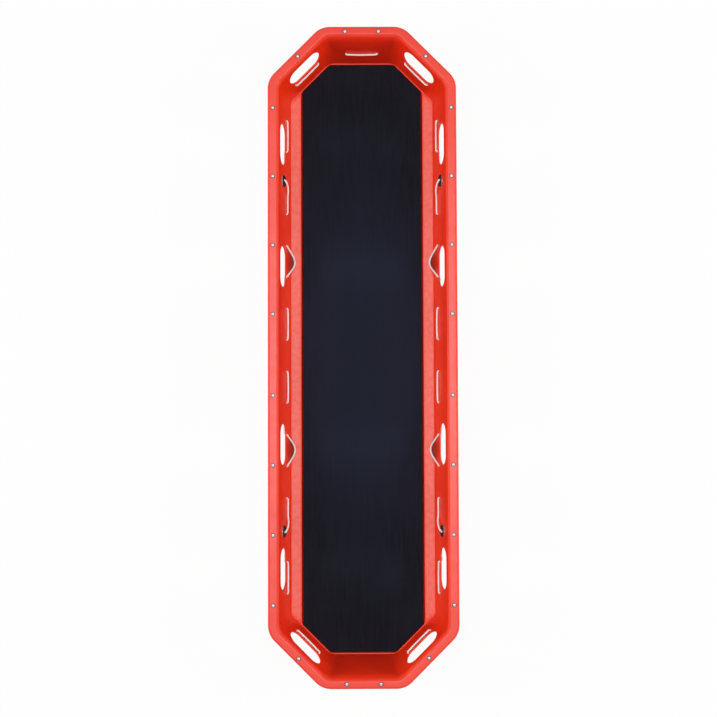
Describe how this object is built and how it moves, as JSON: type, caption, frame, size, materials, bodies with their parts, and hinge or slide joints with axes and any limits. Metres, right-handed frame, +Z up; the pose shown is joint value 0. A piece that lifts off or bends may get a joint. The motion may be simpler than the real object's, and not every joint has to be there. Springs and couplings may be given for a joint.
{
  "type": "basket stretcher",
  "caption": "Rigid basket stretcher: moulded shell with cut corners, rim over a tube frame, hand slots, laced grab cord, lifting eyes and a loose foam mat.",
  "frame": {"origin": "on the ground below the middle of the basket, level with the runners' under faces", "axes": "+Z up, +Y along the basket towards the head end, +X to the right seen from above"},
  "size_m": [0.62, 2.16, 0.1826],
  "materials": {
    "shell_plastic": "moulded polyethylene, satin gloss",
    "frame_aluminium": "drawn tube, mill finish",
    "rivet_steel": "plated",
    "eyelet_steel": "pressed stainless",
    "grommet_rubber": "matt moulded",
    "cord_white": "braided polyester",
    "sleeve_aluminium": "crimped",
    "mat_foam": "closed-cell foam with a fine embossed skin",
    "strip_nylon": "hook-and-loop tape"
  },
  "bodies": {
    "basket": {"shell": "shell_plastic", "frame_side_right": "frame_aluminium", "frame_side_left": "frame_aluminium", "frame_bow_head": "frame_aluminium", "frame_bow_foot": "frame_aluminium", "frame_spigot_1": "frame_aluminium", "frame_spigot_2": "frame_aluminium", "frame_spigot_3": "frame_aluminium", "frame_spigot_4": "frame_aluminium", "rim_rivet_01": "rivet_steel", "rim_rivet_02": "rivet_steel", "rim_rivet_03": "rivet_steel", "rim_rivet_04": "rivet_steel", "rim_rivet_05": "rivet_steel", "rim_rivet_06": "rivet_steel", "rim_rivet_07": "rivet_steel", "rim_rivet_08": "rivet_steel", "rim_rivet_09": "rivet_steel", "rim_rivet_10": "rivet_steel", "rim_rivet_11": "rivet_steel", "rim_rivet_12": "rivet_steel", "rim_rivet_13": "rivet_steel", "rim_rivet_14": "rivet_steel", "rim_rivet_15": "rivet_steel", "rim_rivet_16": "rivet_steel", "rim_rivet_17": "rivet_steel", "rim_rivet_18": "rivet_steel", "rim_rivet_19": "rivet_steel", "rim_rivet_20": "rivet_steel", "rim_rivet_21": "rivet_steel", "rim_rivet_22": "rivet_steel", "rim_rivet_23": "rivet_steel", "rim_rivet_24": "rivet_steel", "eyelet_1": "eyelet_steel", "eyelet_2": "eyelet_steel", "eyelet_3": "eyelet_steel", "eyelet_4": "eyelet_steel", "grommet_1": "grommet_rubber", "grommet_2": "grommet_rubber", "grommet_3": "grommet_rubber", "grommet_4": "grommet_rubber", "lacing_cord": "cord_white", "cord_sleeve": "sleeve_aluminium", "hook_strip_1": "strip_nylon", "hook_strip_2": "strip_nylon", "hook_strip_3": "strip_nylon", "hook_strip_4": "strip_nylon"},
    "mat": {"mat": "mat_foam", "loop_strip_1": "strip_nylon", "loop_strip_2": "strip_nylon", "loop_strip_3": "strip_nylon", "loop_strip_4": "strip_nylon"}
  },
  "joints": [
    {"name": "mat_lift", "type": "slide", "parent": "basket", "child": "mat", "axis": [0, 0, 1], "range_m": [0, 0.3]}
  ]
}
